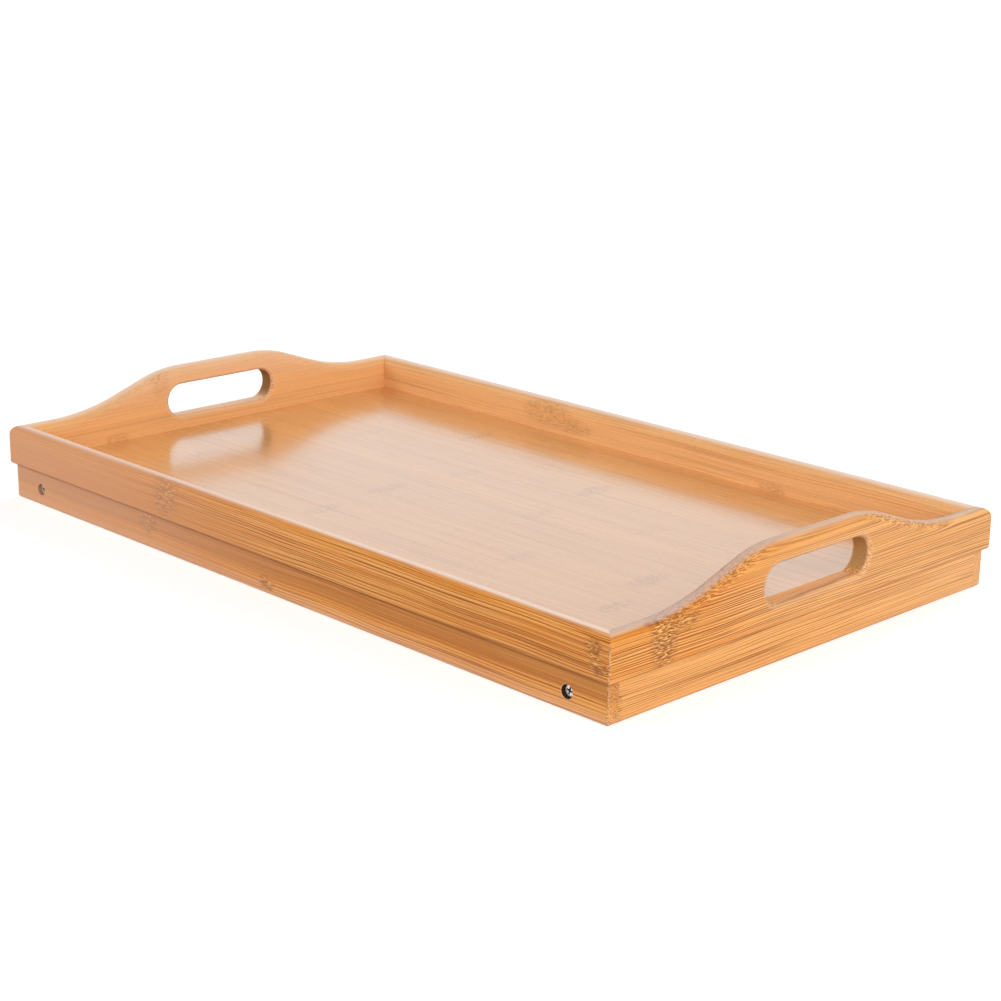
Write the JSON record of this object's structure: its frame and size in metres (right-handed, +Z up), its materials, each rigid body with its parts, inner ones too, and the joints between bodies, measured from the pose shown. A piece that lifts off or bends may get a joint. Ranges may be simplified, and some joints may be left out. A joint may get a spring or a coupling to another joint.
{
  "type": "bed tray",
  "caption": "Rectangular bamboo bed tray with a rimmed recess, raised end boards with obround grip holes, a set-in apron and two folding leg frames stored under it.",
  "frame": {"origin": "middle of the tray's footprint, at the lower edge of the apron, with the legs folded away", "axes": "+X along the tray's length, +Y across it from the front long side to the back one, +Z up"},
  "size_m": [0.5, 0.305, 0.065],
  "materials": {
    "frame_bamboo": "satin lacquer over carbonised bamboo",
    "apron_bamboo": "satin lacquer over carbonised bamboo",
    "panel_bamboo": "glossy lacquer over laminated bamboo strips",
    "leg_bamboo": "satin lacquer over bamboo",
    "zinc_steel": "bright zinc plated",
    "washer_nylon": "natural nylon"
  },
  "bodies": {
    "tray": {"front_rail": "frame_bamboo", "back_rail": "frame_bamboo", "left_handle_board": "frame_bamboo", "right_handle_board": "frame_bamboo", "tray_panel": "panel_bamboo", "front_apron_rail": "apron_bamboo", "back_apron_rail": "apron_bamboo", "left_apron_rail": "apron_bamboo", "right_apron_rail": "apron_bamboo"},
    "left_leg_frame": {"front_left_leg_post": "leg_bamboo", "back_left_leg_post": "leg_bamboo", "left_cross_bar": "leg_bamboo", "front_left_pivot_screw": "zinc_steel", "back_left_pivot_screw": "zinc_steel", "front_left_pivot_washer": "washer_nylon", "back_left_pivot_washer": "washer_nylon", "front_left_bar_screw": "zinc_steel", "back_left_bar_screw": "zinc_steel"},
    "right_leg_frame": {"front_right_leg_post": "leg_bamboo", "back_right_leg_post": "leg_bamboo", "right_cross_bar": "leg_bamboo", "front_right_pivot_screw": "zinc_steel", "back_right_pivot_screw": "zinc_steel", "front_right_pivot_washer": "washer_nylon", "back_right_pivot_washer": "washer_nylon", "front_right_bar_screw": "zinc_steel", "back_right_bar_screw": "zinc_steel"}
  },
  "joints": [
    {"name": "left_leg_fold", "type": "hinge", "parent": "tray", "child": "left_leg_frame", "pos_m": [-0.221, 0, 0.01], "axis": [0, 1, 0], "range_deg": [0, 100]},
    {"name": "right_leg_fold", "type": "hinge", "parent": "tray", "child": "right_leg_frame", "pos_m": [0.221, 0, 0.01], "axis": [0, -1, 0], "range_deg": [0, 100]}
  ]
}
